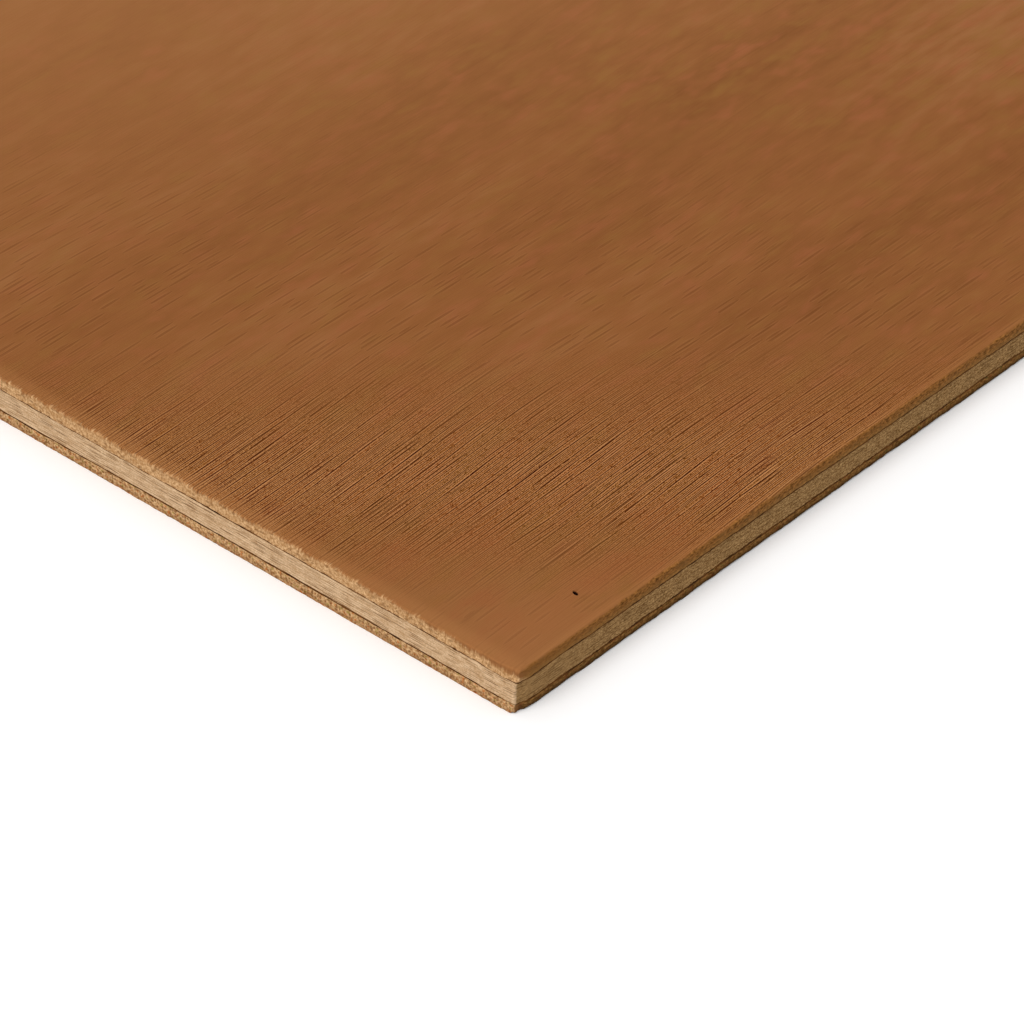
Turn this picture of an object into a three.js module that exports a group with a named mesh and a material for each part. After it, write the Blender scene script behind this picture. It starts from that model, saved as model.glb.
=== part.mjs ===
// Three-ply hardwood plywood panel, lying on its back.
//
// Three peeled veneers are laid up with a film of resin between each two, pressed hot, trimmed square
// with a saw and sanded. The grain of the face and back veneers runs along the panel, and that of the
// core veneer across it, so that each ply holds its neighbour flat. Every ply and both glue films reach
// the trimmed edge, where the lay-up shows as stripes: face, glue, core, glue, back.
//
// Frame: millimetres, +Z up out of the face, +X along the grain of the face. The origin is the middle of
// the back, which lies on the floor.

import * as THREE from 'three';

// The panel as it is trimmed.
const PANEL_LENGTH = 1220; // along the grain of the face
const PANEL_WIDTH = 610; // across it

// What the press leaves of each layer. The plies are balanced: face and back are a pair, and the core is
// as thick as the two together, so the sheet stays flat as the air dries and dampens it.
const FACE_VENEER_THICKNESS = 1.45;
const CORE_VENEER_THICKNESS = 2.9;
const BACK_VENEER_THICKNESS = 1.45;
const GLUE_LINE_THICKNESS = 0.1;

// What trimming, sanding and handling leave of the sharp edges.
const CORNER_RADIUS = 0.5; // each upright corner
const FACE_ARRIS_RADIUS = 0.3; // the edge all round the face
const BACK_ARRIS_RADIUS = 0.2; // the edge all round the back, which is sanded less

const CORNER_SEGMENTS = 4;
const ARRIS_SEGMENTS = 4;

const SQUARE_EDGE = 0;
const QUARTER_TURN = Math.PI / 2;

const reddishVeneer = new THREE.MeshStandardMaterial({ color: '#96613a', roughness: 0.6, metalness: 0 });
const paleVeneer = new THREE.MeshStandardMaterial({ color: '#c8aa7d', roughness: 0.75, metalness: 0 });
const curedResin = new THREE.MeshStandardMaterial({ color: '#4a3020', roughness: 0.45, metalness: 0 });

/** The panel's trimmed outline, counter-clockwise from above, drawn in by inset on all four sides. */
function trimmedOutline(inset) {
  const cornerX = PANEL_LENGTH / 2 - inset - CORNER_RADIUS;
  const cornerY = PANEL_WIDTH / 2 - inset - CORNER_RADIUS;
  const corners = [[1, 1], [-1, 1], [-1, -1], [1, -1]];
  return corners.flatMap(([sideX, sideY], quarter) => {
    const arc = new THREE.EllipseCurve(
      sideX * cornerX,
      sideY * cornerY,
      CORNER_RADIUS,
      CORNER_RADIUS,
      quarter * QUARTER_TURN,
      (quarter + 1) * QUARTER_TURN,
    );
    return arc.getPoints(CORNER_SEGMENTS);
  });
}

/** Quarter-round from an upright edge to the flat above it: how far in and how far up each step lies. */
function arrisSteps(radius) {
  if (radius === SQUARE_EDGE) return [{ inset: 0, rise: 0 }];
  return Array.from({ length: ARRIS_SEGMENTS + 1 }, (_, step) => {
    const angle = (step / ARRIS_SEGMENTS) * QUARTER_TURN;
    return { inset: radius * (1 - Math.cos(angle)), rise: radius * Math.sin(angle) };
  });
}

/** One layer between the planes it shares with its neighbours: its edge section, swept round the outline. */
function layerGeometry(lowerPlane, upperPlane, lowerArris, upperArris) {
  const lower = arrisSteps(lowerArris).map(({ inset, rise }) => ({ inset, z: lowerPlane + lowerArris - rise }));
  const upper = arrisSteps(upperArris).map(({ inset, rise }) => ({ inset, z: upperPlane - upperArris + rise }));
  const section = [...lower.reverse(), ...upper];
  const rings = section.map(({ inset, z }) => trimmedOutline(inset).map((point) => [point.x, point.y, z]));

  const ringSize = rings[0].length;
  const topRing = (rings.length - 1) * ringSize;
  const triangles = [];
  for (let ring = 0; ring < topRing; ring += ringSize) {
    for (let point = 0; point < ringSize; point += 1) {
      const next = (point + 1) % ringSize;
      triangles.push(ring + point, ring + next, ring + ringSize + next);
      triangles.push(ring + point, ring + ringSize + next, ring + ringSize + point);
    }
  }
  for (const [a, b, c] of THREE.ShapeUtils.triangulateShape(trimmedOutline(0), [])) {
    triangles.push(a, c, b);
    triangles.push(topRing + a, topRing + b, topRing + c);
  }

  const geometry = new THREE.BufferGeometry();
  geometry.setAttribute('position', new THREE.Float32BufferAttribute(rings.flat(2), 3));
  geometry.setIndex(triangles);
  geometry.computeVertexNormals();
  return geometry;
}

// The lay-up, from the floor up. Only the two outer plies have an eased edge: the others lie between them.
const layup = [
  {
    name: 'back_veneer',
    thickness: BACK_VENEER_THICKNESS,
    lowerArris: BACK_ARRIS_RADIUS,
    upperArris: SQUARE_EDGE,
    material: reddishVeneer,
  },
  {
    name: 'lower_glue_line',
    thickness: GLUE_LINE_THICKNESS,
    lowerArris: SQUARE_EDGE,
    upperArris: SQUARE_EDGE,
    material: curedResin,
  },
  {
    name: 'core_veneer',
    thickness: CORE_VENEER_THICKNESS,
    lowerArris: SQUARE_EDGE,
    upperArris: SQUARE_EDGE,
    material: paleVeneer,
  },
  {
    name: 'upper_glue_line',
    thickness: GLUE_LINE_THICKNESS,
    lowerArris: SQUARE_EDGE,
    upperArris: SQUARE_EDGE,
    material: curedResin,
  },
  {
    name: 'face_veneer',
    thickness: FACE_VENEER_THICKNESS,
    lowerArris: SQUARE_EDGE,
    upperArris: FACE_ARRIS_RADIUS,
    material: reddishVeneer,
  },
];

const group = new THREE.Group();
let seat = 0; // the plane on which the next layer lies down
for (const { name, thickness, lowerArris, upperArris, material } of layup) {
  const layer = new THREE.Mesh(layerGeometry(seat, seat + thickness, lowerArris, upperArris), material);
  layer.name = name;
  group.add(layer);
  seat += thickness;
}

export default group;
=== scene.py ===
# %% [markdown]
# # A three-ply plywood sheet
#
# A plywood sheet is three thin sheets of wood, called veneers or plies, glued one on the other with
# the grain of each across the next. What the eye reads as plywood is the trimmed edge: a reddish face
# veneer, a thin dark glue line, a pale core, a second glue line and a reddish back. On the short ends the
# saw went across the grain of the outer plies, so their fibres stand up like a cut brush, and along the
# core, which shows fine lines. On the long edges it is the other way round.
#
# The CAD model holds the five layers as plain solids. This script gives each its real surface: the sawn
# edge is worked out as a mesh, and the wood on it is a procedural material.

# %% Frame
import math

import bpy
import numpy as np
from mathutils import Matrix, Vector


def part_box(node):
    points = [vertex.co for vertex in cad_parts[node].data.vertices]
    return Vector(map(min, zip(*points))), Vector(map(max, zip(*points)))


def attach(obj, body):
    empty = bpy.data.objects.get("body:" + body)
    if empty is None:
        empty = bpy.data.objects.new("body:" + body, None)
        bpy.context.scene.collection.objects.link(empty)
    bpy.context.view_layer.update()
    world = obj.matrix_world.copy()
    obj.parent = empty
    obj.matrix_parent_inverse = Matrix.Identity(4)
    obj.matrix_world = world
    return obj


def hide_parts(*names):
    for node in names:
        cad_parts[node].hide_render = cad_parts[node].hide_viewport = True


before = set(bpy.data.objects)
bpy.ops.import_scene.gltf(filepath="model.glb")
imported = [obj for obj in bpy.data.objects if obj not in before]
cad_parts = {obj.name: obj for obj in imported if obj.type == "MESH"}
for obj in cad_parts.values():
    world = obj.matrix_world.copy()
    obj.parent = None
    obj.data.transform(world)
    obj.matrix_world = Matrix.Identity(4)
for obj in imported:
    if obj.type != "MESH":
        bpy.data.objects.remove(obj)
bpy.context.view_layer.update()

MM = 0.001

back_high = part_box("back_veneer")[1]
core_low, core_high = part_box("core_veneer")
face_low, face_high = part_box("face_veneer")

HALF_LENGTH = face_high[0] / MM
HALF_WIDTH = face_high[1] / MM
BACK_TOP = back_high[2] / MM
CORE_BOTTOM = core_low[2] / MM
CORE_TOP = core_high[2] / MM
FACE_BOTTOM = face_low[2] / MM
FACE_TOP = face_high[2] / MM

print(f"sheet {2 * HALF_LENGTH:.0f} x {2 * HALF_WIDTH:.0f} x {FACE_TOP:.1f} mm")

# %% [markdown]
# ## The camera
#
# A product picture of sheet stock shows one corner from close by. The camera is a long lens half a metre
# away, so the lines of the sheet stay nearly parallel. It is placed from the corner: the point half-way
# up it is put at a named pixel, and the camera stands back from it along its own line of sight.

# %% Camera
PICTURE = 1024
CORNER_PIXEL = (516.8, 695.7)
FOCAL_PIXELS = 4500
SENSOR = 36
CAMERA_HEADING = math.radians(39.44)
CAMERA_DROP = math.radians(36.70)
CAMERA_ROLL = math.radians(2.49)
CORNER_DEPTH = 481.8

sight = Vector((
    math.cos(CAMERA_HEADING) * math.cos(CAMERA_DROP),
    math.sin(CAMERA_HEADING) * math.cos(CAMERA_DROP),
    -math.sin(CAMERA_DROP),
))
level = Vector((math.sin(CAMERA_HEADING), -math.cos(CAMERA_HEADING), 0))
upright = level.cross(sight)
right = math.cos(CAMERA_ROLL) * level + math.sin(CAMERA_ROLL) * upright
up = -math.sin(CAMERA_ROLL) * level + math.cos(CAMERA_ROLL) * upright

corner = Vector((-HALF_LENGTH, -HALF_WIDTH, FACE_TOP / 2))
mm_per_pixel = CORNER_DEPTH / FOCAL_PIXELS
eye = corner - CORNER_DEPTH * sight
eye -= (CORNER_PIXEL[0] - PICTURE / 2) * mm_per_pixel * right
eye -= (PICTURE / 2 - CORNER_PIXEL[1]) * mm_per_pixel * up

camera = bpy.data.objects.new("camera", bpy.data.cameras.new("camera"))
camera.data.sensor_width = SENSOR
camera.data.lens = FOCAL_PIXELS / PICTURE * SENSOR
camera.data.clip_end = 20
camera.matrix_world = Matrix((
    (right.x, up.x, -sight.x, eye.x * MM),
    (right.y, up.y, -sight.y, eye.y * MM),
    (right.z, up.z, -sight.z, eye.z * MM),
    (0, 0, 0, 1),
))
bpy.context.scene.collection.objects.link(camera)
bpy.context.scene.camera = camera
print("lens", round(camera.data.lens, 1), "mm, eye at", [round(v) for v in eye], "mm")

# %% [markdown]
# ## Shader formulas in a few words
#
# Each material here is a long formula. A small helper makes a node tree read like arithmetic: every call
# adds one node and returns the socket with its result. What several plies share is a node group.

# %% Node helper
def linear(red, green, blue):
    """A colour written as 0 to 255 on screen, as the linear light that shaders use."""
    screen = np.array((red, green, blue)) / 255
    light = np.where(screen <= 0.04045, screen / 12.92, ((screen + 0.055) / 1.055) ** 2.4)
    return (*(float(v) for v in light), 1.0)


class Formula:
    """A node tree that is written as formulas: each call adds a node and returns its output."""

    def __init__(self, tree):
        self.tree = tree

    def node(self, kind, sockets, output=0, **settings):
        node = self.tree.nodes.new("ShaderNode" + kind)
        for name, value in settings.items():
            setattr(node, name, value)
        for key, value in sockets.items():
            self.feed(node.inputs[key], value)
        return node.outputs[output]

    def feed(self, socket, value):
        if isinstance(value, bpy.types.NodeSocket):
            self.tree.links.new(value, socket)
        else:
            socket.default_value = value

    def fill(self, node, **values):
        """Feeds a node's sockets. A value's name is the socket's, with _ for a space."""
        for name, value in values.items():
            self.feed(node.inputs[name.replace("_", " ")], value)

    def math(self, operation, *values):
        return self.node("Math", dict(enumerate(values)), operation=operation)

    def add(self, a, b):
        return self.math("ADD", a, b)

    def sub(self, a, b):
        return self.math("SUBTRACT", a, b)

    def mul(self, a, b):
        return self.math("MULTIPLY", a, b)

    def div(self, a, b):
        return self.math("DIVIDE", a, b)

    def fade(self, value, start, end):
        """0 before start and 1 past end, with a smooth step between. The two may be the other way round."""
        sockets = {"Value": value, "From Min": start, "From Max": end}
        return self.node("MapRange", sockets, interpolation_type="SMOOTHSTEP")

    def mix(self, share, a, b):
        return self.node("Mix", {0: share, 2: a, 3: b}, data_type="FLOAT", clamp_factor=True)

    def tint(self, share, a, b):
        """Colour a with a share of colour b over it. Either may be three numbers from 0 to 255."""
        a, b = (linear(*colour) if isinstance(colour, tuple) else colour for colour in (a, b))
        return self.node("Mix", {0: share, 6: a, 7: b}, output=2, data_type="RGBA")

    def above(self, value):
        """What value has above nought."""
        return self.math("MAXIMUM", value, 0.0)

    def under(self, value):
        """What value has below nought, turned positive."""
        return self.math("MAXIMUM", self.mul(value, -1.0), 0.0)

    def point(self, x, y):
        return self.node("CombineXYZ", {0: x, 1: y})

    def parts(self, vector):
        node = self.tree.nodes.new("ShaderNodeSeparateXYZ")
        self.feed(node.inputs[0], vector)
        return node.outputs

    def noise(self, x, y, size, seed, detail=2.0, roughness=0.5):
        """Random blotches from about -1 to 1, each as long as size[0] along x and as size[1] along y."""
        scaled = self.point(self.div(x, size[0]), self.div(y, size[1]))
        spot = self.node("VectorMath", {0: scaled, 1: (seed, 1.7 * seed, 0)}, operation="ADD")
        sockets = {"Vector": spot, "Scale": 1.0, "Detail": detail, "Roughness": roughness}
        height = self.node("TexNoise", sockets, noise_dimensions="2D", normalize=True)
        return self.mul(self.sub(height, 0.5), 2.6)

    def bump(self, height, distance, strength):
        """A relief that is only shaded. A height of 1 rises by distance, in mm."""
        return self.node("Bump", {"Height": height, "Distance": distance * MM, "Strength": strength})


def node_group(name, inputs, outputs, build):
    """A shader node group. inputs maps a name to its usual value, with the two coordinates first, and
    build(formula, sockets) returns the outputs by name."""
    tree = bpy.data.node_groups.new(name, "ShaderNodeTree")
    for socket_name, usual in inputs.items():
        socket = tree.interface.new_socket(socket_name, in_out="INPUT", socket_type="NodeSocketFloat")
        socket.default_value = usual
    for socket_name in outputs:
        tree.interface.new_socket(socket_name, in_out="OUTPUT", socket_type="NodeSocketFloat")
    entry = tree.nodes.new("NodeGroupInput")
    result = tree.nodes.new("NodeGroupOutput")
    formula = Formula(tree)
    for socket_name, value in build(formula, entry.outputs).items():
        formula.feed(result.inputs[socket_name], value)
    return tree


def place(formula, group, first, second, **values):
    """Puts a node group into a formula's tree, fills its sockets and returns what it gives."""
    node = formula.tree.nodes.new("ShaderNodeGroup")
    node.node_tree = group
    formula.feed(node.inputs[0], first)
    formula.feed(node.inputs[1], second)
    formula.fill(node, **values)
    return node.outputs


# %% [markdown]
# ## What wood shows: pores
#
# A tropical hardwood is full of fine tubes. Cut along, they are dark dashes a few millimetres long and a
# sixth of a millimetre wide, and cut across they are dots. One Voronoi texture gives both: each cell
# holds one pore, whose length, width and depth come from the cell's random colour, and only the cell's
# proportions differ. The wood is raised and lighter beside a pore, which is the second output.

# %% Node group: pores
def build_pores(f, socket):
    """Each cell of a stretched Voronoi grid has one spindle. Its half width shrinks towards the two ends
    as the square root of 1 - (distance along / half length) squared."""
    along = f.add(f.div(socket["Along"], socket["Length"]), socket["Seed"])
    across = f.add(f.div(socket["Across"], socket["Spacing"]), socket["Seed"])
    cell = f.tree.nodes.new("ShaderNodeTexVoronoi")
    cell.voronoi_dimensions = "2D"
    f.fill(cell, Vector=f.point(along, across), Scale=1.0, Randomness=0.7)
    heart = f.parts(cell.outputs["Position"])
    chance = f.parts(cell.outputs["Color"])

    half_length = f.mix(chance[1], 0.2, 0.6)
    reach = f.div(f.math("ABSOLUTE", f.sub(along, heart[0])), half_length)
    spindle = f.math("SQRT", f.above(f.sub(1.0, f.mul(reach, reach))))
    half_width = f.mul(f.mul(socket["Width"], f.mix(chance[2], 0.4, 0.58)), spindle)
    offset = f.mul(f.math("ABSOLUTE", f.sub(across, heart[1])), socket["Spacing"])
    present = f.mul(f.math("LESS_THAN", chance[0], socket["Share"]), f.mix(chance[1], 0.7, 1.0))
    line = f.fade(offset, f.mul(half_width, 1.15), f.mul(half_width, 0.7))
    rim = f.sub(f.fade(offset, f.mul(half_width, 2.8), f.mul(half_width, 1.2)), line)
    return {"Pores": f.mul(line, present), "Rims": f.mul(rim, present)}


pores = node_group(
    "Pores",
    {"Along": 0.0, "Across": 0.0, "Length": 6.0, "Spacing": 0.6, "Width": 0.17, "Share": 0.7, "Seed": 0.0},
    ["Pores", "Rims"],
    build_pores,
)

# %% [markdown]
# ## What wood shows: fibre and lines
#
# Between the pores the wood has silky streaks, which are noise that is stretched along the grain. Where
# the tubes lie in rows they run together into fine dark lines. Noise can't give those, as it has no even
# spacing, but a sine wave across the grain has. One noise drifts it sideways, so that no line is
# straight, and another switches it on and off along the grain.

# %% Node groups: fibre and lines
def build_fibre(f, socket):
    """Two stretched noises added, for single fibres and for bundles."""
    size = (socket["Length"], socket["Thickness"])
    single = f.noise(socket["Along"], socket["Across"], size, 3.7, detail=1.0, roughness=0.6)
    along, across = f.mul(socket["Along"], 0.3), f.mul(socket["Across"], 0.3)
    bundle = f.noise(along, across, size, 9.1, detail=0.0)
    return {"Fibre": f.add(f.mul(single, 0.7), f.mul(bundle, 0.3))}


fibre = node_group(
    "Fibre", {"Along": 0.0, "Across": 0.0, "Length": 4.0, "Thickness": 0.15}, ["Fibre"], build_fibre
)

PEAK_AVERAGE = 231 / 1024
RIM_AVERAGE = 3 / 8
DRIFT_LENGTHS = 17.0


def build_lines(f, socket):
    """Fine dark lines with light rims, a period apart. With crest = (1 - sin(2 pi turns)) / 2, the line is
    share * crest ** 2 - crest ** 6, a wide peak less a narrow one. Over a turn the two powers average
    3 / 8 and 231 / 1024, so their quotient as the share keeps the lines from darkening the wood."""
    along, across = socket["Along"], socket["Across"]
    drift = f.noise(along, across, (f.mul(socket["Length"], DRIFT_LENGTHS), 1.2), 31.0, detail=1.0)
    turns = f.add(f.div(across, socket["Period"]), f.mul(drift, 0.42))
    vigour = f.noise(along, across, (socket["Length"], 0.35), 37.0, roughness=0.7)
    crest = f.mul(f.sub(1.0, f.math("SINE", f.mul(turns, 2 * math.pi))), 0.5)
    rims = f.mul(f.math("POWER", crest, 2.0), PEAK_AVERAGE / RIM_AVERAGE)
    line = f.sub(rims, f.math("POWER", crest, 6.0))
    return {"Lines": f.mul(line, f.fade(vigour, -0.5, -0.15))}


lines = node_group(
    "Lines", {"Along": 0.0, "Across": 0.0, "Length": 4.0, "Period": 0.4}, ["Lines"], build_lines
)

# %% [markdown]
# ## What wood shows: figure
#
# A peeled veneer cuts the growth rings at a flat angle, so broad soft bands of darker and redder wood
# drift along the sheet. Tone and redness don't change together, so each has its own noises.

# %% Node group: figure
def build_figure(f, socket):
    """Tone is broad bands plus shorter streaks; redness is a slow drift plus small patches."""
    along, across = socket["Along"], socket["Across"]
    bands = f.noise(along, across, (95.0, 20.0), 0.0)
    streaks = f.noise(along, across, (8.0, 2.0), 5.0)
    drift = f.noise(along, across, (26.0, 9.0), 13.0, detail=1.0)
    patches = f.noise(along, across, (6.0, 2.8), 17.0)
    tone = f.add(f.mul(bands, 0.6), f.mul(streaks, 0.4))
    return {"Tone": tone, "Redness": f.add(f.mul(drift, 0.5), f.mul(patches, 0.5))}


figure = node_group("Figure", {"Along": 0.0, "Across": 0.0}, ["Tone", "Redness"], build_figure)

# %% [markdown]
# ## Where a point of the sheet lies
#
# Every material asks how far a point lies in from the nearest short end and long edge, and where it lies
# across the grain, which runs a degree or two off the edge and wanders. One node group answers, from
# Object coordinates in mm. The pieces stay at the origin, so these are places on the sheet.

# %% Node group: layout
GRAIN_SLOPE = 0.028
GRAIN_WANDER = 1.6


def build_layout(f, socket):
    """From End is half the length less |x|, and From Side half the width less |y|. Across is y less the
    grain's slope times x, plus a slow noise."""
    x, y = socket["X"], socket["Y"]
    wander = f.noise(x, y, (85.0, 60.0), 2.0, detail=1.0)
    return {
        "From End": f.sub(HALF_LENGTH, f.math("ABSOLUTE", x)),
        "From Side": f.sub(HALF_WIDTH, f.math("ABSOLUTE", y)),
        "Across": f.add(f.sub(y, f.mul(x, GRAIN_SLOPE)), f.mul(wander, GRAIN_WANDER)),
    }


layout = node_group("Layout", {"X": 0.0, "Y": 0.0}, ["From End", "From Side", "Across"], build_layout)
print("node groups:", [group.name for group in bpy.data.node_groups])


def sheet_formula(name):
    """A new material, its formula, its shader, and the point's X, Y and Z in mm."""
    material = bpy.data.materials.new(name)
    material.use_nodes = True
    formula = Formula(material.node_tree)
    shader = material.node_tree.nodes["Principled BSDF"]
    place_on_object = material.node_tree.nodes.new("ShaderNodeTexCoord").outputs["Object"]
    scaled = formula.node("VectorMath", {0: place_on_object, "Scale": 1 / MM}, operation="SCALE")
    return material, formula, shader, formula.parts(scaled)


# %% [markdown]
# ## Face veneer: where its grain is open
#
# The face is sanded, reddish-brown meranti-type veneer. In a belt across each corner its pores are dark
# and crisp, nearer to the corner and further in they are filled and soft, and over the rest of the sheet
# they show faintly. Masks say which of these holds, and all that follows is mixed by them.

# %% Face masks
BELT_RISE = (14.0, 50.0)
BELT_FALL = (49.0, 92.0)
REST_OF_SHEET = (195.0, 300.0)
REST_GRAIN = 0.4


def face_places(f, x, y):
    """Inward is the distance from the end plus that from the side, in mm, and depth nearly the straight
    distance from the corner. Open is the belt, a rise times a fall, and on the rest of the sheet a
    constant share."""
    where = place(f, layout, x, y)
    end, side = where["From End"], where["From Side"]
    inward = f.add(end, side)
    rise = f.mix(f.fade(inward, *BELT_RISE), 0.07, 1.0)
    fall = f.mix(f.fade(inward, *BELT_FALL), 1.0, 0.05)
    away = f.fade(inward, *REST_OF_SHEET)
    return {
        "end": end,
        "side": side,
        "across": where["Across"],
        "inward": inward,
        "depth": f.add(f.mul(end, 0.77), f.mul(side, 0.64)),
        "fall": fall,
        "away": away,
        "open": f.math("MAXIMUM", f.mul(rise, fall), f.mul(away, REST_GRAIN)),
    }


# %% [markdown]
# ## Face veneer: figure
#
# The ground is olive-brown with redder drifts. Over it lie light and dark bands, and small ruddy and
# greenish blotches, which show most where no open pores cover them. Away from the edges the wood is
# painted a little lighter, which is painted light, and the bands are drawn out into long ribbons, as a
# peeling knife shows them.

# %% Face figure
BLOTCH_STRENGTH = 0.75


def face_figure(f, x, at):
    """The colour of the wood between the pores: a ground and one tint over the other."""
    across, depth, fall = at["across"], at["depth"], at["fall"]
    bands = place(f, figure, x, across)
    redness = f.mix(fall, 0.5, f.fade(bands["Redness"], -0.5, 0.5))
    wood = f.tint(redness, (118, 69, 19), (126, 65, 17))
    wood = f.tint(f.mul(f.sub(1.0, at["open"]), 0.47), wood, (159, 106, 66))

    strength = f.mix(f.fade(depth, 36.0, 75.0), 0.12, 0.6)
    strength = f.add(strength, f.mul(f.fade(depth, 100.0, 140.0), 0.45))
    tone = f.mul(bands["Tone"], strength)
    wood = f.tint(f.above(tone), wood, (166, 114, 72))
    wood = f.tint(f.under(tone), wood, (110, 62, 26))

    blotches = f.noise(x, across, (8.0, 3.4), 47.0, roughness=0.65)
    mottled = f.math("MAXIMUM", f.fade(depth, 80.0, 130.0), f.mix(fall, 0.55, 0.65))
    mottled = f.mul(mottled, BLOTCH_STRENGTH)
    ruddy = f.tint(fall, (157, 91, 58), (140, 75, 40))
    green = f.tint(fall, (142, 98, 48), (124, 82, 30))
    wood = f.tint(f.mul(f.fade(blotches, 0.0, 0.9), mottled), wood, ruddy)
    wood = f.tint(f.mul(f.fade(blotches, 0.0, -0.9), mottled), wood, green)

    # Painted light: the wood is painted lighter further in from the edges, standing in for light that falls
    # unevenly over the sheet.
    painted_light_inward = f.add(f.mul(at["end"], 0.4), f.mul(at["side"], 0.9))
    wood = f.tint(f.fade(painted_light_inward, 70.0, 190.0), wood, (156, 103, 60))
    ribbons = f.noise(x, across, (240.0, 11.0), 61.0, detail=4.0, roughness=0.6)
    ribboned = f.tint(f.fade(ribbons, -0.7, 0.7), (137, 82, 44), (163, 109, 66))
    return f.tint(at["away"], wood, ribboned)


# %% [markdown]
# ## Face veneer: grain
#
# Three things make the open grain: fine lines half a millimetre apart, long separate pores, and grit,
# the sanded ends of fibres, which breaks both up so that neither looks drawn with a ruler. Where line and
# grit together are high the wood is lit, and where they are low it is dark. Filled pores are wider,
# softer and lighter. The last two tints are the pale, worn wood at the corner and beside the edges.

# %% Face grain
LINE_CONTRAST = 44.0
RIM_CONTRAST = 9.0


def face_grain(f, wood, x, at):
    """The wood with its pores, and how deep the open pores are at a point."""
    across, depth, open_grained = at["across"], at["depth"], at["open"]
    filled = place(f, pores, x, across, Length=5.0, Spacing=0.9, Width=0.34, Share=0.5, Seed=2.2)
    veiled = f.mul(f.fade(depth, 42.0, 60.0), f.fade(depth, 120.0, 65.0))
    veiled = f.math("MAXIMUM", veiled, f.fade(depth, 26.0, 8.0))
    wood = f.tint(f.mul(filled["Rims"], f.mul(veiled, 0.18)), wood, (176, 120, 72))
    wood = f.tint(f.mul(filled["Pores"], f.mul(veiled, 0.3)), wood, (84, 36, 8))

    fine = place(f, lines, x, across, Length=1.2, Period=0.5)["Lines"]
    cut = place(f, pores, x, across, Length=9.0, Spacing=0.55, Width=0.15, Share=0.6, Seed=7.7)
    grit = f.mul(f.noise(x, across, (0.2, 0.13), 41.0, detail=1.0), 1.4)
    line = f.add(fine, f.sub(f.mul(cut["Rims"], 0.25), cut["Pores"]))
    lit = f.fade(f.add(f.mul(line, RIM_CONTRAST), grit), 0.0, 1.0)
    dark = f.fade(f.add(f.mul(fine, LINE_CONTRAST), grit), 0.0, -1.0)
    wood = f.tint(f.mul(lit, open_grained), wood, (185, 128, 78))
    wood = f.tint(f.mul(dark, open_grained), wood, (48, 0, 0))
    wood = f.tint(f.mul(cut["Pores"], f.mul(open_grained, 0.5)), wood, (46, 0, 0))

    wood = f.tint(f.mul(f.fade(at["inward"], 40.0, 5.0), 0.32), wood, (168, 113, 70))
    from_edge = f.math("MINIMUM", at["end"], f.add(f.mul(at["side"], 1.6), 0.8))
    wood = f.tint(f.mul(f.fade(from_edge, 3.0, 0.8), 0.35), wood, (172, 116, 68))
    return wood, f.mul(cut["Pores"], open_grained)


# %% [markdown]
# ## Face veneer: its two kinds of sawn edge
#
# Across the grain the saw leaves pale upstanding fibres, in clumps, with dark pore mouths between them.
# Along the grain the edge is sanded round and shows plain wood, more olive than the face, with strands
# that are blurred by dirt next to the corner and crisp away from it.

# %% Face edges
CRISP_FROM_CORNER = (3.0, 22.0)


def face_cut_across(f, y, z):
    """The brush of cut fibres: a fine noise between two tans, darker clumps over it, and the mouths."""
    brush = f.noise(y, z, (0.34, 0.36), 1.0, detail=3.0, roughness=0.8)
    clumps = f.noise(y, z, (1.6, 0.9), 8.0, detail=1.0)
    mouths = place(f, pores, y, z, Length=0.7, Spacing=0.55, Width=0.36, Share=0.3)["Pores"]
    cut = f.tint(f.fade(brush, -0.6, 0.6), (170, 120, 72), (240, 194, 142))
    cut = f.tint(f.mul(f.fade(clumps, 0.0, 0.9), 0.6), cut, (178, 126, 74))
    return f.tint(f.mul(mouths, 0.5), cut, (120, 78, 40))


def face_cut_along(f, x, z, inward, patches):
    """Strands between two browns, olive patches over them, and a paler foot at the glue line."""
    strands = f.noise(x, z, (0.6, 0.24), 23.0, detail=3.0, roughness=0.7)
    strands = f.mul(strands, f.mix(f.fade(inward, *CRISP_FROM_CORNER), 0.3, 1.0))
    foot = f.mul(f.fade(z, FACE_BOTTOM + 0.7, FACE_BOTTOM), 0.3)
    cut = f.tint(f.fade(strands, -0.6, 0.6), (98, 60, 20), (182, 122, 62))
    cut = f.tint(f.mul(f.fade(patches, 0.1, 0.9), 0.6), cut, (104, 84, 34))
    return f.tint(foot, cut, (176, 136, 78))


# %% [markdown]
# ## Face veneer: the whole material
#
# The sanded face, the torn ends and the rounded sides are mixed by how far a point lies below the face
# and in from each edge. A noise frays the border, as the saw tears a fibre here and leaves one there.
# Inside the pin hole the walls are painted nearly black, as painted shade.

# %% Face material
PIT_SHADE_DEPTHS = (FACE_TOP - 0.06, FACE_TOP - 0.2)
EDGE_ZONE = 1.5


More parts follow.
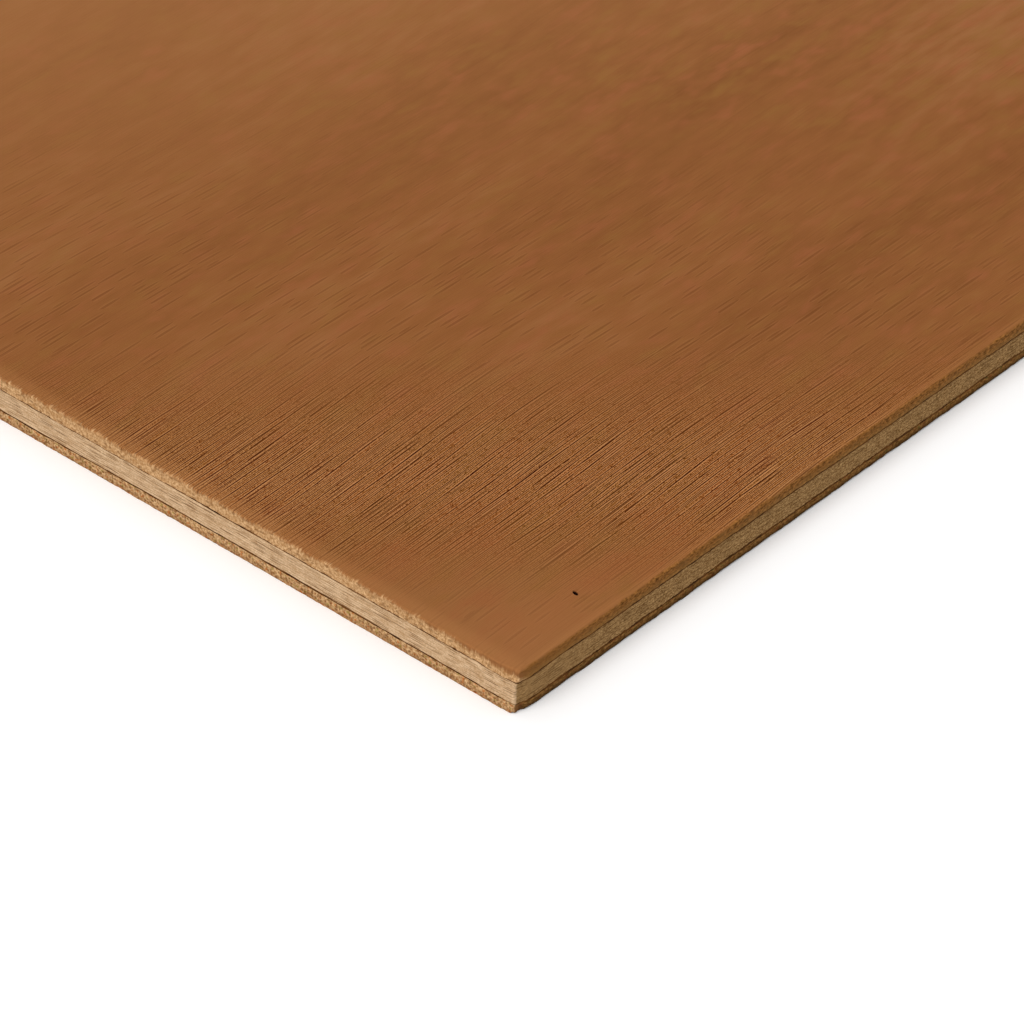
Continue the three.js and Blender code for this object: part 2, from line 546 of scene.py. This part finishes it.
def face_wood():
    """The face's material. Torn is 1 on the sawn short ends, and reaches a ragged half millimetre over
    the arris on to the face. Rounded is 1 on the long edges."""
    material, f, shader, (x, y, z) = sheet_formula("face_wood")
    at = face_places(f, x, y)
    wood, hollow = face_grain(f, face_figure(f, x, at), x, at)

    fringe = f.noise(x, at["across"], (1.1, 0.2), 4.0, roughness=0.7)
    sunk = f.noise(y, x, (2.3, 9.0), 6.0)
    below = f.sub(f.sub(FACE_TOP, z), f.mul(at["end"], 0.6))
    below = f.sub(below, f.mul(f.fade(at["side"], 24.0, 5.0), 0.5))
    torn = f.fade(f.add(below, f.add(f.mul(fringe, 0.45), f.mul(sunk, 0.35))), -0.3, 0.45)
    patches = f.noise(x, z, (2.4, 0.8), 27.0, detail=1.0)
    rounded = f.fade(f.add(at["side"], f.mul(patches, 0.12)), 0.24, 0.0)
    colour = f.tint(rounded, wood, face_cut_along(f, x, z, at["inward"], patches))
    colour = f.tint(torn, colour, face_cut_across(f, y, z))

    # Painted shade: below the face and away from the edges, which is inside the pin hole, the wood is
    # painted nearly black.
    on_top = f.math("GREATER_THAN", f.math("MINIMUM", at["end"], at["side"]), EDGE_ZONE)
    colour = f.tint(f.mul(f.fade(z, *PIT_SHADE_DEPTHS), on_top), colour, (30, 12, 8))

    f.fill(shader, Base_Color=colour, Roughness=f.mix(torn, 0.55, 0.9), Specular_IOR_Level=0.02)
    f.fill(shader, Normal=f.bump(f.mul(hollow, -0.4), 0.04, 0.4))
    return material


# %% [markdown]
# ## Core veneer
#
# The core is a paler wood laid crosswise. On the short ends of the sheet it is cut along its grain, and
# shows fine dark threads along the edge, denser in some places than in others, over silk and grit. On the
# long edges it is cut across the grain: darker and greyer, in thin layers, with pore mouths as dots. Soft
# clouds lie over both, and next to the corner handling has blurred all but them.

# %% Core edges
def core_along_grain(f, y, z, crisp, clouds):
    """The colour along the grain, and the streaks that its relief follows."""
    grit = f.noise(y, z, (0.3, 0.2), 19.0, roughness=0.8)
    silk = place(f, lines, y, z, Length=1.6, Period=0.34)["Lines"]
    silk = f.mul(silk, f.mix(crisp, 0.5, 2.0))
    streaks = place(f, fibre, y, z, Length=1.4, Thickness=0.16)["Fibre"]
    streaks = f.mul(streaks, f.mix(crisp, 0.3, 1.0))
    threads = place(f, pores, y, z, Length=2.6, Spacing=0.27, Width=0.12, Share=0.65)["Pores"]
    busy = f.fade(f.noise(y, z, (6.0, 1.1), 11.0, detail=1.0), -0.4, 0.6)
    blend = f.add(f.add(streaks, grit), f.mul(clouds, f.mix(crisp, 0.9, 0.4)))
    colour = f.tint(f.fade(blend, -1.2, 1.2), (188, 145, 100), (242, 206, 165))
    colour = f.tint(f.above(silk), colour, (246, 214, 174))
    colour = f.tint(f.under(silk), colour, (140, 98, 56))
    return f.tint(f.mul(threads, f.mix(busy, 0.3, 0.9)), colour, (108, 68, 30)), streaks


def core_across_grain(f, x, z, crisp, clouds):
    """The colour across the grain, and the layers that its relief follows."""
    layers = f.noise(x, z, (0.4, 0.16), 3.0, detail=3.0, roughness=0.8)
    layers = f.add(f.mul(layers, f.mix(crisp, 0.4, 1.1)), f.mul(clouds, 0.2))
    rings = place(f, lines, x, z, Length=3.0, Period=0.38)["Lines"]
    rings = f.mul(f.under(f.mul(rings, f.mix(crisp, 0.6, 2.6))), 0.5)
    dots = place(f, pores, x, z, Length=3.0, Spacing=0.34, Width=0.13, Share=0.5, Seed=3.3)["Pores"]
    colour = f.tint(f.fade(layers, -0.6, 0.6), (118, 80, 38), (214, 170, 114))
    colour = f.tint(rings, colour, (88, 56, 20))
    return f.tint(f.mul(dots, 0.6), colour, (80, 50, 16)), layers


# %% Core material
def core_wood():
    """The core's material. On end is 1 where a point is nearer to a short end than to a long edge, and a
    small noise makes the line between the two ragged."""
    material, f, shader, (x, y, z) = sheet_formula("core_wood")
    where = place(f, layout, x, y)
    crisp = f.fade(f.add(where["From End"], where["From Side"]), 3.0, 24.0)
    clouds = f.noise(f.add(x, y), z, (1.6, 0.7), 35.0)
    along_grain, streaks = core_along_grain(f, y, z, crisp, clouds)
    across_grain, layers = core_across_grain(f, x, z, crisp, clouds)

    ragged = f.noise(z, f.add(x, y), (0.5, 0.4), 33.0)
    past_corner = f.add(f.sub(where["From End"], where["From Side"]), f.mul(ragged, 0.15))
    on_end = f.fade(past_corner, 0.2, -0.2)
    colour = f.tint(on_end, across_grain, along_grain)
    f.fill(shader, Base_Color=colour, Roughness=0.8, Specular_IOR_Level=0.03)
    f.fill(shader, Normal=f.bump(f.mix(on_end, layers, streaks), 0.03, 0.5))
    return material


# %% [markdown]
# ## Back veneer
#
# The back is the same reddish wood, of a lower grade and not sanded as finely. On the short ends its cut
# fibres are a coarse mottle of tan, orange and olive, and on the long edges it is dark brown with stains.
# Both are painted darker towards the foot, as painted shade where the edge meets the floor.

# %% Back surfaces
def back_underside(f, x, across):
    """Plain bands between two browns, with wide open pores."""
    tone = place(f, figure, x, across)["Tone"]
    dashes = place(f, pores, x, across, Length=8.0, Spacing=0.8, Width=0.28, Share=0.85, Seed=3.1)["Pores"]
    wood = f.tint(f.fade(tone, -0.7, 0.7), (118, 76, 42), (156, 106, 64))
    return f.tint(f.mul(dashes, 0.8), wood, (84, 50, 26))


def back_cut_across(f, y, z, mottle):
    """A coarse mottle between two tans, orange and olive patches over it, pore mouths, and painted shade
    towards the floor.
    """
    hue = f.noise(y, z, (0.6, 0.45), 6.0, detail=1.0)
    mouths = place(f, pores, y, z, Length=0.4, Spacing=0.35, Width=0.34, Share=0.5)["Pores"]
    cut = f.tint(f.fade(mottle, -0.7, 0.7), (168, 118, 70), (240, 196, 144))
    cut = f.tint(f.fade(hue, 0.25, 0.8), cut, (204, 122, 62))
    cut = f.tint(f.fade(hue, -0.3, -0.8), cut, (168, 144, 72))
    cut = f.tint(f.mul(mouths, 0.6), cut, (104, 58, 22))
    # Painted shade: a darker brown over the lowest millimetre, where the end meets the floor.
    return f.tint(f.mul(f.fade(z, 0.9, 0.15), 0.4), cut, (130, 78, 40))


def back_cut_along(f, x, z):
    """Strands between two dark browns, red and olive stains over them, and painted shade towards the floor.
    """
    strands = f.noise(x, z, (0.6, 0.3), 29.0, roughness=0.7)
    stain = f.noise(x, z, (0.9, 0.4), 15.0, detail=1.0)
    cut = f.tint(f.fade(strands, -0.6, 0.6), (100, 64, 26), (174, 126, 70))
    cut = f.tint(f.fade(stain, 0.2, 0.9), cut, (138, 76, 40))
    cut = f.tint(f.fade(stain, -0.4, -0.9), cut, (110, 96, 46))
    # Painted shade: nearly black over the lowest millimetre, where the rounded edge turns under to the
    # floor.
    return f.tint(f.mul(f.fade(z, 1.0, 0.2), 0.75), cut, (54, 36, 16))


# %% Back material
def back_wood():
    """The back's material: the underside gives way to the edges over the last half millimetre."""
    material, f, shader, (x, y, z) = sheet_formula("back_wood")
    where = place(f, layout, x, y)
    mottle = f.noise(y, z, (0.4, 0.36), 1.0, roughness=0.7)
    colour = back_underside(f, x, where["Across"])
    colour = f.tint(f.fade(where["From Side"], 0.6, 0.2), colour, back_cut_along(f, x, z))
    colour = f.tint(f.fade(where["From End"], 0.5, 0.2), colour, back_cut_across(f, y, z, mottle))
    f.fill(shader, Base_Color=colour, Roughness=0.82, Specular_IOR_Level=0.03)
    f.fill(shader, Normal=f.bump(mottle, 0.05, 0.6))
    return material


# %% [markdown]
# ## Glue lines
#
# The resin cures dark brown. Where the saw has cut it, it shows as a thin line of uneven strength.

# %% Glue material
def cured_resin():
    material, f, shader, (x, y, z) = sheet_formula("cured_resin")
    patches = f.noise(x, y, (1.5, 1.5), 0.0)
    colour = f.tint(f.fade(patches, -0.7, 0.7), (62, 34, 8), (112, 70, 30))
    f.fill(shader, Base_Color=colour, Roughness=0.6, Specular_IOR_Level=0.03)
    return material


# %% [markdown]
# ## The sawn edge as a mesh
#
# An edge of plywood is not a plane. The glue lines wave a little, the saw has left each ply rough in
# its own way, and the arrises are torn or rubbed round. All of that is one idea: a cross-section of the
# ply's edge is carried round the outline of the sheet, and changes from station to station. A
# displacement texture could do it too, but the neighbouring ply wouldn't know of it. Worked out as
# numbers, the same wave can be given to the two plies and the film that meet in it.

# %% Random heights
TABLE_SIZE = 512


def bumps(u, v, seed):
    """Smooth random heights from -1 to 1, one hump for each unit of u and v: a point blends the random
    values at the four whole numbers round it, with the weight 3t^2 - 2t^3 along u and along v."""
    table = np.random.default_rng(seed).uniform(-1, 1, (TABLE_SIZE, TABLE_SIZE))
    u, v = np.broadcast_arrays(np.asarray(u, float), np.asarray(v, float))
    column, row = np.floor(u).astype(int), np.floor(v).astype(int)
    s, t = u - column, v - row
    s, t = s * s * (3 - 2 * s), t * t * (3 - 2 * t)

    def at(i, j):
        return table[(column + i) % TABLE_SIZE, (row + j) % TABLE_SIZE]

    low = at(0, 0) * (1 - s) + at(1, 0) * s
    high = at(0, 1) * (1 - s) + at(1, 1) * s
    return low * (1 - t) + high * t


# %% [markdown]
# ## Stations round the outline
#
# The stations lie close together near the corner that is seen from close by, and far apart elsewhere, so
# that the triangles are spent where they show. Unevenness that is finer than the stations would only
# look jagged, so each fine noise is multiplied by the fineness, which is less where they lie far apart.

# %% Stations
FINE_STEP = 0.14
FINE_REACH = 96.0
COARSE_STEP = 2.5
GROWTH_LENGTH = 60
MEASURES = 40001
SHORT_STEP = 0.5
CORNER_RADIUS = 0.5
ARC_STATIONS = 5
CAP_INSETS = (2.8, 3.4, 6.6, 12.0, 25.0)
BLOCK = 2 ** len(CAP_INSETS)


def spaced(span, fine_at_start, fine_at_end):
    """Places along a straight edge. The number of stations up to a place is the integral of 1 / step,
    and the step grows from FINE_STEP to COARSE_STEP past FINE_REACH from a fine end. With the next arc
    they fill whole blocks, which can be halved again and again."""
    along = np.linspace(0, span, MEASURES)
    distance = np.full_like(along, np.inf)
    if fine_at_start:
        distance = np.minimum(distance, along)
    if fine_at_end:
        distance = np.minimum(distance, span - along)
    growth = np.clip((distance - FINE_REACH) / GROWTH_LENGTH, 0, 1)
    step = FINE_STEP * (COARSE_STEP / FINE_STEP) ** growth
    count = np.concatenate(([0], np.cumsum(np.diff(along) / step[:-1])))
    number = math.ceil(count[-1] / BLOCK) * BLOCK - ARC_STATIONS
    return np.interp(np.linspace(0, count[-1], number), count, along)


def outline_stations():
    """The stations counter-clockwise from the near corner: each one's point and outward direction."""
    corners = np.array([(-1, -1), (1, -1), (1, 1), (-1, 1)]) * (HALF_LENGTH, HALF_WIDTH)
    turn = np.linspace(0, math.pi / 2, ARC_STATIONS + 2)[1:-1, None]
    made = []
    for side in range(4):
        start, end = corners[side], corners[(side + 1) % 4]
        length = np.linalg.norm(end - start)
        travel = (end - start) / length
        outward = np.array((travel[1], -travel[0]))
        at = spaced(length - 2 * CORNER_RADIUS, side == 0, side == 3)[:, None]
        made.append(np.hstack((start + travel * (CORNER_RADIUS + at), outward + 0 * at)))
        normal = outward * np.cos(turn) + travel * np.sin(turn)
        made.append(np.hstack((end + CORNER_RADIUS * (normal - travel - outward), normal)))
    return np.vstack(made)


def drawn_in(outline, inset):
    """The outline with its length and width made smaller by an inset on every side."""
    return outline * (1 - inset[..., None] / np.array((HALF_LENGTH, HALF_WIDTH)))


points, outwards = np.split(outline_stations(), 2, axis=1)
end_share = outwards[:, 0] ** 2
steps = np.linalg.norm(np.roll(points, -1, axis=0) - points, axis=1)
fineness = np.clip(SHORT_STEP / steps, 0, 1)
run = np.cumsum(steps) - steps
run = np.where(run > run[-1] / 2, run - steps.sum(), run)
print(len(points), "stations,", int((steps < 1.5 * FINE_STEP).sum()), "of them fine")


# %% [markdown]
# ## Where the glue lines run
#
# The films were pressed between veneers that were never quite flat. Distances along the outline are
# counted from the near corner: up along its long edge, and down, below nothing, along its short end. The
# drift is a film's slow way up and down, and the wave adds noise of three sizes to it. The film's half
# thickness varies too, and beside the corner the resin has filled a small pocket in the wood.

# %% Glue lines
def hump(centre, reach):
    """1 at one place along the outline, falling to nothing round it."""
    return np.exp(-(((run - centre) / reach) ** 2))


GLUE_POCKET = -9.2
drift_low = 0.08 * end_share - 0.19 * (1 - end_share) - 0.12 * hump(0, 16) - 0.14 * hump(-76, 12)
drift_high = -0.05 * end_share - 0.13 * (1 - end_share) - 0.15 * hump(0, 5) - 0.1 * hump(-70, 14)
wave_low = drift_low + 0.03 * bumps(run / 9, 0, 11)
wave_low = wave_low + (0.03 * bumps(run / 2.2, 0, 12) + 0.02 * bumps(run / 0.6, 0, 18)) * fineness
wave_high = drift_high + 0.06 * bumps(run / 7, 0, 13)
wave_high = wave_high + (0.05 * bumps(run / 2.0, 0, 14) + 0.03 * bumps(run / 0.6, 0, 17)) * fineness
film_low = 0.1 - 0.05 * hump(0, 5) + 0.04 * bumps(run / 1.1, 0, 15) * fineness
film_low = film_low + 0.03 * hump(-38, 14)
film_high = 0.1 - 0.07 * end_share + 0.024 * bumps(run / 0.7, 0, 16) * fineness
film_high = film_high + 0.02 * hump(-29, 4) + 0.03 * hump(-45, 6) + 0.03 * hump(-41, 1.6)
film_high = film_high + 0.15 * hump(GLUE_POCKET, 0.26)
middle_low = (BACK_TOP + CORE_BOTTOM) / 2
middle_high = (CORE_TOP + FACE_BOTTOM) / 2
seams = {
    "back_top": (BACK_TOP, middle_low + wave_low - film_low),
    "core_bottom": (CORE_BOTTOM, middle_low + wave_low + film_low),
    "core_top": (CORE_TOP, middle_high + wave_high - film_high),
    "face_bottom": (FACE_BOTTOM, middle_high + wave_high + film_high),
}
SEAM_FADE = 2.0
print("half a film:", film_low.min().round(3), "to", film_high.max().round(3), "mm")

# %% [markdown]
# ## How rough the saw has left each ply
#
# Cut across, wood is a brush of fibre ends with hollows torn between them. Cut along, it has shallow
# grooves and follows the saw's wander. Each is an inset from the plane of the edge, so the sheet is never
# larger than its CAD box. The near corner was knocked once, and leans in.

# %% Roughness
def cut_across_grain(height):
    """How far the ends of the fibres stand back: single bundles, and wider hollows."""
    single = bumps(run / 0.3, height / 0.28, 21) * fineness
    hollow = bumps(run / 1.6, height / 0.9, 22)
    return 0.035 * (1 + single) + 0.03 * (1 + hollow)


def cut_along_grain(height):
    """Shallow grooves along the grain, and a slow wander of the saw."""
    groove = bumps(run / 3.5, height / 0.12, 23) * fineness
    wander = bumps(run / 14, height / 4, 24)
    return 0.015 * (1 + groove) + 0.01 * (1 + wander)


def edge_relief(height, grain_on_x):
    """The inset of a ply's edge, rough or smooth by how its grain meets it."""
    end_on = end_share if grain_on_x else 1 - end_share
    return cut_across_grain(height) * end_on + cut_along_grain(height) * (1 - end_on)


def corner_wear(height):
    """The knocked near corner leans in on the long edge towards the floor, and a little on the short end
    towards the face."""
    near = hump(-0.4, 1.3)
    share = height / FACE_TOP
    ragged = 0.05 * (1 + bumps(run / 0.4, height / 0.5, 25))
    return near * (0.5 * (1 - share) * (1 - end_share) + 0.2 * share * end_share + ragged)


# %% [markdown]
# ## Cross-sections
#
# A section is a list of rows, each with an inset and a height at every station. A ply and a film share
# the row where they meet, so the layers stay pressed together however the glue line waves.

# %% Cross-sections
EDGE_ROWS = 11
CORE_ROWS = 22
ARC_ROWS = 6
FLAT_BEGINS = 2.2


def straight_rows(low, high, count):
    """Rows at even heights from low to high, both of which vary from station to station."""
    share = np.linspace(0, 1, count)[:, None]
    return low[None] * (1 - share) + high[None] * share


def arc_rows(radius):
    """Quarter-round rows past an upright edge: inset = r (1 - cos a) and rise = r sin a."""
    angle = np.linspace(0, math.pi / 2, ARC_ROWS + 1)[1:, None]
    return radius[None] * (1 - np.cos(angle)), radius[None] * np.sin(angle)


def sawn(height, grain_on_x=True, curve=0.0, radius=math.inf):
    """Rows of sawn edge at these heights. The relief fades where they curve in round an arris."""
    relief = edge_relief(height, grain_on_x) * (1 - curve / radius)
    return curve + relief + corner_wear(height), height


def ring(inset, height):
    """One row with the same inset and height all round."""
    return np.full((1, len(run)), inset), np.full((1, len(run)), height)


def stack(*rows):
    """One array of insets and one of heights from the rows of a section."""
    return np.concatenate([inset for inset, _ in rows]), np.concatenate([height for _, height in rows])


# %% [markdown]
# ## The flat inside of a ply
#
# One face with thousands of corners could fill the flat top of a ply, but it is shaded badly near its
# rim. So a few rings with half as many stations each lead inwards, and only then comes one large face.

# %% Flat caps
def flat_cap(outer, height, first, upwards):
    """The flat inside of a row: rings joined by five-cornered faces, and one face in the middle. Gives
    the new points, and the faces ring by ring."""
    kept, rings, faces = points, [], []
    for inset in CAP_INSETS:
        kept = kept[::2]
        rings.append(drawn_in(kept, np.full(len(kept), inset)))
        inner = first + np.arange(len(kept))
        corners = (outer[::2], outer[1::2], np.roll(outer, -2)[::2], np.roll(inner, -1), inner)
        faces.append(np.stack(corners if upwards else corners[::-1], axis=1))
        outer, first = inner, first + len(kept)
    faces.append((outer if upwards else outer[::-1])[None])
    flat = np.vstack(rings)
    return np.hstack((flat, np.full((len(flat), 1), height))), faces


# %% [markdown]
# ## Sweeping a section round the sheet
#
# Rows and stations form a grid, whose faces are worked out as one array. A bevelled curve couldn't do it,
# because its section is the same everywhere.

# %% Sweep
SHARP_ANGLE = math.radians(48)


def sweep(name, insets, heights, material, finish=None):
    """Joins rows of stations into a closed skin, with a flat cap on the first and the last. finish may
    change the points and the faces of the upper cap."""
    verts = np.concatenate((drawn_in(points, insets), heights[..., None]), axis=2).reshape(-1, 3)
    rows, count = insets.shape
    here = np.arange(count)
    there = (here + 1) % count
    base = np.arange(rows - 1)[:, None] * count
    quads = np.stack((base + here, base + there, base + count + there, base + count + here), axis=2)
    under, lower = flat_cap(here, heights[0, 0], len(verts), upwards=False)
    verts = np.vstack((verts, under))
    over, upper = flat_cap((rows - 1) * count + here, heights[-1, 0], len(verts), upwards=True)
    verts = np.vstack((verts, over))
    faces = quads.reshape(-1, 4).tolist()
    if finish:
        verts, upper = finish(verts, upper)
    for band in lower + upper:
        faces += band.tolist()
    mesh = bpy.data.meshes.new(name)
    mesh.from_pydata((verts * MM).tolist(), [], faces)
    mesh.shade_smooth()
    mesh.set_sharp_from_angle(angle=SHARP_ANGLE)
    mesh.materials.append(material)
    piece = bpy.data.objects.new(name, mesh)
    bpy.context.scene.collection.objects.link(piece)
    print(f"{name}: {len(verts)} points, {sum(len(face) - 2 for face in faces)} triangles")
    return piece


# %% [markdown]
# ## A pin hole
#
# Something sharp has left one hole in the face. A few faces of the cap make room for an ellipse, its walls
# and its bottom.

# %% Pin hole
PIT = np.array((15.0 - HALF_LENGTH, 4.65 - HALF_WIDTH))
PIT_REACH = (0.5, 0.27)
PIT_SLANT = math.radians(-110)
PIT_DEPTH = 0.6
PIT_SIDES = 14
PIT_BAND = 2
PIT_ROOM = 1.4
PIT_TAPER = 0.6


def with_pit(verts, bands):
    """Sinks a pin hole into the top: an ellipse on the face and a smaller one below it. The few faces
    round it give way to two, which meet along two lines, from the ends of the hole to the middle of the
    outer and of the inner side of that place."""
    turn = np.linspace(0, 2 * math.pi, PIT_SIDES, endpoint=False)
    ellipse = np.stack((PIT_REACH[0] * np.cos(turn), PIT_REACH[1] * np.sin(turn)), axis=1)
    cos, sin = math.cos(PIT_SLANT), math.sin(PIT_SLANT)
    ellipse = ellipse @ np.array(((cos, sin), (-sin, cos)))
    mouth = np.hstack((PIT + ellipse, np.full((PIT_SIDES, 1), FACE_TOP)))
    bottom = np.hstack((PIT + PIT_TAPER * ellipse, np.full((PIT_SIDES, 1), FACE_TOP - PIT_DEPTH)))
    hole = len(verts) + np.arange(PIT_SIDES)
    deep = hole + PIT_SIDES
    half = PIT_SIDES // 2

    band = bands[PIT_BAND]
    middle = verts[band, :2].mean(axis=1)
    taken = (abs(middle[:, 0] - PIT[0]) < PIT_ROOM) & (middle[:, 1] < 0)
    gone = band[taken]
    outer = np.append(gone[:, :2].ravel(), gone[-1, 2])
    inner = np.append(gone[:, 4], gone[-1, 3])[::-1]
    low, high = len(outer) // 2, len(inner) // 2
    sides = [
        np.concatenate((outer[low:], inner[: high + 1], hole[: half + 1][::-1])),
        np.concatenate((inner[high:], outer[: low + 1], hole[:1], hole[half:][::-1])),
    ]
    walls = np.stack((hole, np.roll(hole, -1), np.roll(deep, -1), deep), axis=1)
    changed = [band[~taken], walls, deep[None], *(side[None] for side in sides)]
    return np.vstack((verts, mouth, bottom)), bands[:PIT_BAND] + changed + bands[PIT_BAND + 1 :]


# %% [markdown]
# ## Face ply
#
# The face ply has a torn arris on the short ends and a sanded, rounder one on the long edges. Its section
# goes up the edge, round the arris and a little way over the torn rim of the face.

# %% Face ply
SHELF = (0.12, 0.3, 0.6, 1.1)
TEAR_REACH = 0.3

face_radius_end = 0.28 + 0.08 * bumps(run / 2.1, 0, 31) + 0.08 * bumps(run / 0.35, 0, 32) * fineness
face_radius_side = 0.42 + 0.05 * bumps(run / 7, 0, 33)
face_radius = face_radius_end * end_share + face_radius_side * (1 - end_share)


def face_section():
    """Edge, arris and shelf. A tear in the face fades out over the shelf."""
    upright = straight_rows(seams["face_bottom"][1], FACE_TOP - face_radius, EDGE_ROWS)
    arc_in, arc_up = arc_rows(face_radius)
    arc_height = FACE_TOP - face_radius + arc_up
    rows = [ring(SEAM_FADE, FACE_BOTTOM), sawn(upright), sawn(arc_height, curve=arc_in, radius=face_radius)]
    torn = 0.05 * np.clip(bumps(run / 0.26, 0, 34), 0, 1) * fineness * end_share
    for inset in SHELF:
        rim = face_radius + inset + corner_wear(FACE_TOP)
        rows.append((rim[None], (FACE_TOP - torn * math.exp(-inset / TEAR_REACH))[None]))
    rows.append(ring(FLAT_BEGINS, FACE_TOP))
    return stack(*rows)


face_ply = sweep("face_ply", *face_section(), face_wood(), finish=with_pit)

# %% [markdown]
# ## Core ply
#
# The core has no arris: it lies between the films and takes their waves. Its grain runs the other way, so
# it is rough where its neighbours are smooth.

# %% Core ply
def core_section():
    """The edge between the two seams, with twice the rows because it is twice as high."""
    upright = straight_rows(seams["core_bottom"][1], seams["core_top"][1], CORE_ROWS)
    edge = sawn(upright, grain_on_x=False)
    return stack(ring(SEAM_FADE, CORE_BOTTOM), edge, ring(SEAM_FADE, CORE_TOP))


core_ply = sweep("core_ply", *core_section(), core_wood())

# %% [markdown]
# ## Back ply
#
# The back ply is nearly sharp on the short ends, but for a chip beside the knocked corner, and rubbed round
# on the long edges. Its section starts on the floor, and rises round the lower arris to the seam.

# %% Back ply
BACK_SHELF = (0.5, 0.2)

back_radius_end = 0.07 + 0.02 * bumps(run / 1.5, 0, 41) + 0.04 * bumps(run / 0.5, 0, 42) * fineness
back_radius_end = back_radius_end + 0.6 * hump(-0.7, 0.22)
back_radius_side = 0.28 + 0.08 * bumps(run / 4, 0, 43) + 0.12 * bumps(run / 0.8, 0, 44) * fineness
back_radius = back_radius_end * end_share + back_radius_side * (1 - end_share)


def back_section():
    """Shelf, arris and edge, from below."""
    arc_in, arc_up = arc_rows(back_radius)
    arc_in, arc_height = arc_in[::-1], back_radius - arc_up[::-1]
    upright = straight_rows(back_radius, seams["back_top"][1], EDGE_ROWS)
    rim = back_radius + corner_wear(0.0)
    shelf = [((rim + inset)[None], np.zeros((1, len(run)))) for inset in BACK_SHELF]
    arris = sawn(arc_height, curve=arc_in, radius=back_radius)
    return stack(ring(FLAT_BEGINS, 0.0), *shelf, arris, sawn(upright), ring(SEAM_FADE, BACK_TOP))


back_ply = sweep("back_ply", *back_section(), back_wood())

# %% [markdown]
# ## Glue films
#
# Cured resin is brittle and chips under the saw, so a film lies a little back from the wood.

# %% Glue films
def film(name, low_key, high_key, seed, material):
    """A film between two seams, set back more in some places than in others."""
    low, high = seams[low_key][1], seams[high_key][1]
    set_back = 0.03 + 0.03 * bumps(run / 1.4, 0, seed) * fineness
    insets, heights = stack(
        ring(SEAM_FADE, seams[low_key][0]),
        ((set_back + corner_wear(low))[None], low[None]),
        ((set_back + corner_wear(high))[None], high[None]),
        ring(SEAM_FADE, seams[high_key][0]),
    )
    return sweep(name, insets, heights, material)


resin = cured_resin()
lower_glue = film("lower_glue", "back_top", "core_bottom", 51, resin)
upper_glue = film("upper_glue", "core_top", "face_bottom", 52, resin)

# %% [markdown]
# ## Light and floor
#
# The corner is lit by one broad light from the left, high up, as through a large softbox. A short end
# of the sheet faces it, and the long edge lives on what comes back from the pale floor and walls. A sun
# lamp with a wide angle is as soft, and even over the whole sheet. The sky is white to the camera and
# dimmer as a light.

# %% Light
SKY = 0.6
KEY = 0.55
KEY_HEIGHT = math.radians(50)
KEY_SWING = math.radians(2)
KEY_SPREAD = math.radians(40)
FLOOR_BOUNCE = 0.42
FLOOR_LIFT = 0.07

key = bpy.data.objects.new("softbox", bpy.data.lights.new("softbox", "SUN"))
key.data.energy = KEY * math.pi
key.data.angle = KEY_SPREAD
towards = Vector((
    -math.cos(KEY_HEIGHT) * math.cos(KEY_SWING),
    math.cos(KEY_HEIGHT) * math.sin(KEY_SWING),
    math.sin(KEY_HEIGHT),
))
key.rotation_euler = towards.to_track_quat("Z", "Y").to_euler()
bpy.context.scene.collection.objects.link(key)


def seen_directly(f):
    """1 for what the camera sees, also in a mirror or through glass, and 0 for what lights the sheet."""
    rays = f.tree.nodes.new("ShaderNodeLightPath").outputs
    mirrored = f.math("MAXIMUM", rays["Is Glossy Ray"], rays["Is Transmission Ray"])
    return f.math("MAXIMUM", rays["Is Camera Ray"], mirrored)


world = bpy.data.worlds.new("studio")
world.use_nodes = True
bpy.context.scene.world = world
sky = Formula(world.node_tree)
backdrop = world.node_tree.nodes["Background"]
backdrop.inputs["Color"].default_value = (1, 1, 1, 1)
sky.feed(backdrop.inputs["Strength"], sky.mix(seen_directly(sky), SKY, 1.0))

# %% [markdown]
# ## Floor
#
# The floor is white to the camera and greyer as a light, so that it doesn't flood the shaded edge. It
# keeps the sheet's shadow, and a faint glow lifts it to the white of the backdrop.

# %% Floor
FLOOR_SIZE = 12.0


def floor_material():
    """White where it is seen directly, and FLOOR_BOUNCE for the light that it sends back."""
    material = bpy.data.materials.new("floor_white")
    material.use_nodes = True
    f = Formula(material.node_tree)
    shader = material.node_tree.nodes["Principled BSDF"]
    seen = seen_directly(f)
    shade = f.mix(seen, FLOOR_BOUNCE, 1.0)
    grey = f.node("CombineColor", {0: shade, 1: shade, 2: shade})
    f.fill(shader, Base_Color=grey, Roughness=1.0, Specular_IOR_Level=0.0)
    f.fill(shader, Emission_Color=(1, 1, 1, 1), Emission_Strength=f.mul(seen, FLOOR_LIFT))
    return material


half = FLOOR_SIZE / 2
floor_corners = [(-half, -half, 0), (half, -half, 0), (half, half, 0), (-half, half, 0)]
floor_mesh = bpy.data.meshes.new("floor")
floor_mesh.from_pydata(floor_corners, [], [(0, 1, 2, 3)])
floor_mesh.materials.append(floor_material())
floor = bpy.data.objects.new("floor", floor_mesh)
bpy.context.scene.collection.objects.link(floor)

bpy.context.scene.view_settings.view_transform = "Standard"

# %% [markdown]
# ## What each piece stands for
#
# Each piece replaces the plain layer that it dresses, and moves with the sheet's one body.

# %% Roles
for piece, node, slot in (
    (face_ply, "face_veneer", "face_veneer_wood"),
    (upper_glue, "upper_glue_line", "cured_resin"),
    (core_ply, "core_veneer", "core_veneer_wood"),
    (lower_glue, "lower_glue_line", "cured_resin"),
    (back_ply, "back_veneer", "back_veneer_wood"),
):
    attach(piece, "root")
    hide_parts(node)
